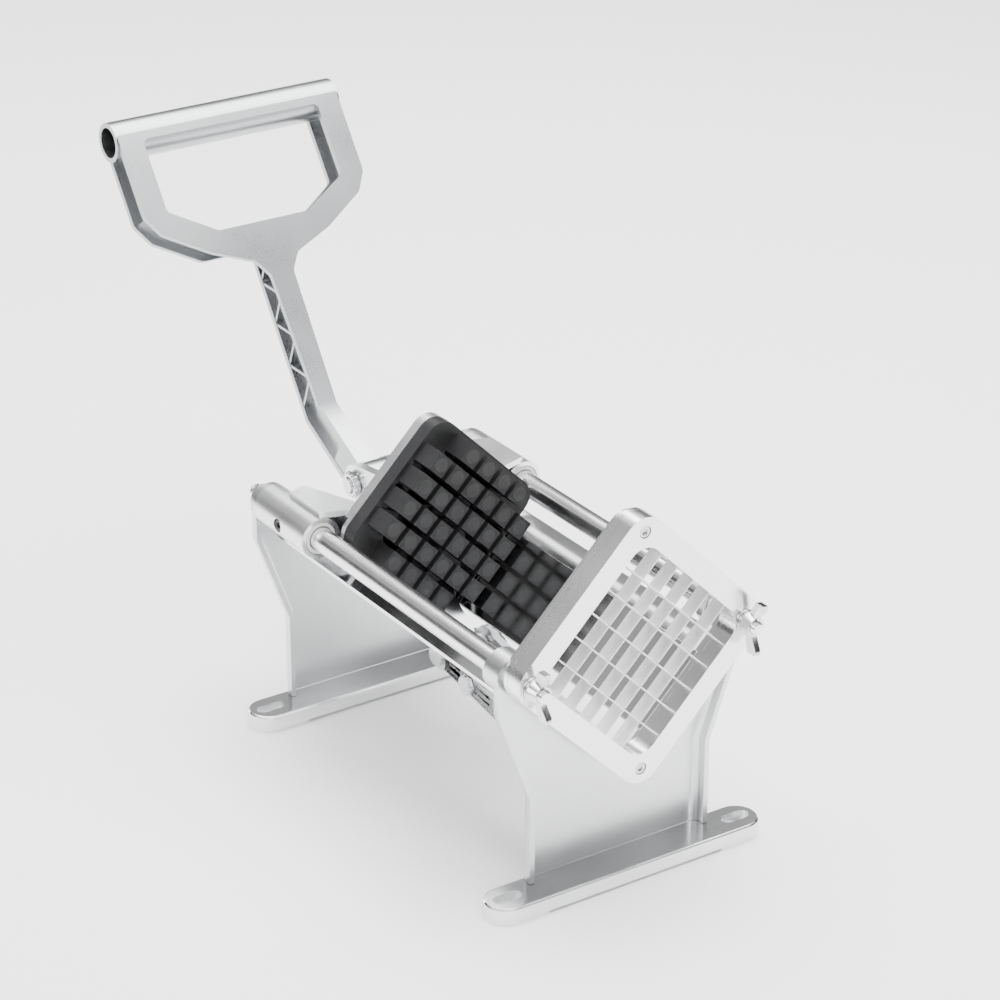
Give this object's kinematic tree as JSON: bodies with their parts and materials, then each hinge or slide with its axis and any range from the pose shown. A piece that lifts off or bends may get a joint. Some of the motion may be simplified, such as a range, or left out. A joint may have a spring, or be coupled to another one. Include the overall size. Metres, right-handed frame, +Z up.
{
  "type": "lever potato chipper",
  "caption": "Bench-top lever potato chipper: a hand lever slides a pinned pusher along two rods and drives the potato through a square blade grid.",
  "frame": {"origin": "centre of the footprint, on the worktop under the feet", "axes": "+X to the right as seen from the blade grid, +Y from the blade grid to the handle, +Z up"},
  "size_m": [0.1566, 0.4048, 0.2815],
  "materials": {
    "cast_aluminium": "satin cast",
    "polished_aluminium": "polished",
    "chromed_steel": "chromed",
    "blade_steel": "ground",
    "fastener_steel": "plated",
    "black_plastic": "matt moulded",
    "grey_liner": "satin"
  },
  "bodies": {
    "machine_frame": {"front_foot": "polished_aluminium", "rear_foot": "polished_aluminium", "front_leg": "cast_aluminium", "rear_leg": "cast_aluminium", "blade_frame": "polished_aluminium", "blade_frame_back": "polished_aluminium", "blade_rising_1": "blade_steel", "blade_rising_2": "blade_steel", "blade_rising_3": "blade_steel", "blade_rising_4": "blade_steel", "blade_rising_5": "blade_steel", "blade_falling_1": "blade_steel", "blade_falling_2": "blade_steel", "blade_falling_3": "blade_steel", "blade_falling_4": "blade_steel", "blade_falling_5": "blade_steel", "blade_frame_screw_lower": "fastener_steel", "blade_frame_screw_upper": "fastener_steel", "guide_rod_left": "chromed_steel", "guide_rod_right": "chromed_steel", "rod_washer_left": "fastener_steel", "rod_washer_right": "fastener_steel", "rod_nut_left": "chromed_steel", "rod_nut_right": "chromed_steel", "wing_washer_left": "fastener_steel", "wing_washer_right": "fastener_steel", "bed_left": "polished_aluminium", "bed_right": "polished_aluminium", "bed_screw_left": "fastener_steel", "bed_screw_right": "fastener_steel", "link_front_bolt": "fastener_steel", "link_front_nut": "fastener_steel"},
    "pusher_carriage": {"carriage": "cast_aluminium", "bush_liner_left": "grey_liner", "bush_liner_right": "grey_liner", "liner_screw_left": "fastener_steel", "liner_screw_right": "fastener_steel", "pusher_block": "black_plastic", "pusher_screw_1": "fastener_steel", "pusher_screw_2": "fastener_steel", "pusher_screw_3": "fastener_steel", "pusher_screw_4": "fastener_steel", "lever_pin": "fastener_steel", "lever_pin_nut": "fastener_steel"},
    "hand_lever": {"lever": "cast_aluminium", "lever_tip_pin": "fastener_steel"},
    "anchor_links": {"link_left": "cast_aluminium", "link_right": "cast_aluminium", "link_spacer": "fastener_steel", "link_spacer_bolt": "fastener_steel", "link_spacer_nut": "fastener_steel", "link_rear_bolt_left": "fastener_steel", "link_rear_bolt_right": "fastener_steel"},
    "left_wing_nut": {"wing_nut_left": "fastener_steel"},
    "right_wing_nut": {"wing_nut_right": "fastener_steel"}
  },
  "joints": [
    {"name": "carriage_slide", "type": "slide", "parent": "machine_frame", "child": "pusher_carriage", "axis": [0, -1, 0], "range_m": [0, 0.1436]},
    {"name": "lever_swing", "type": "hinge", "parent": "pusher_carriage", "child": "hand_lever", "pos_m": [0, 0.04269, 0.121], "axis": [1, 0, 0], "range_deg": [0, 90]},
    {"name": "link_swing", "type": "hinge", "parent": "machine_frame", "child": "anchor_links", "pos_m": [0, -0.15931, 0.042], "axis": [1, 0, 0], "range_deg": [-12.2, 0]},
    {"name": "wing_nut_left_spin", "type": "hinge", "parent": "machine_frame", "child": "left_wing_nut", "pos_m": [-0.06, -0.19341, 0.122], "axis": [0, 1, 0], "continuous": true},
    {"name": "wing_nut_right_spin", "type": "hinge", "parent": "machine_frame", "child": "right_wing_nut", "pos_m": [0.06, -0.19341, 0.122], "axis": [0, 1, 0], "continuous": true}
  ],
  "couplings": [
    {"joint": "lever_swing", "follows": "carriage_slide", "rad_per_m": 10.939},
    {"joint": "link_swing", "follows": "carriage_slide", "rad_per_m": -1.4737}
  ]
}
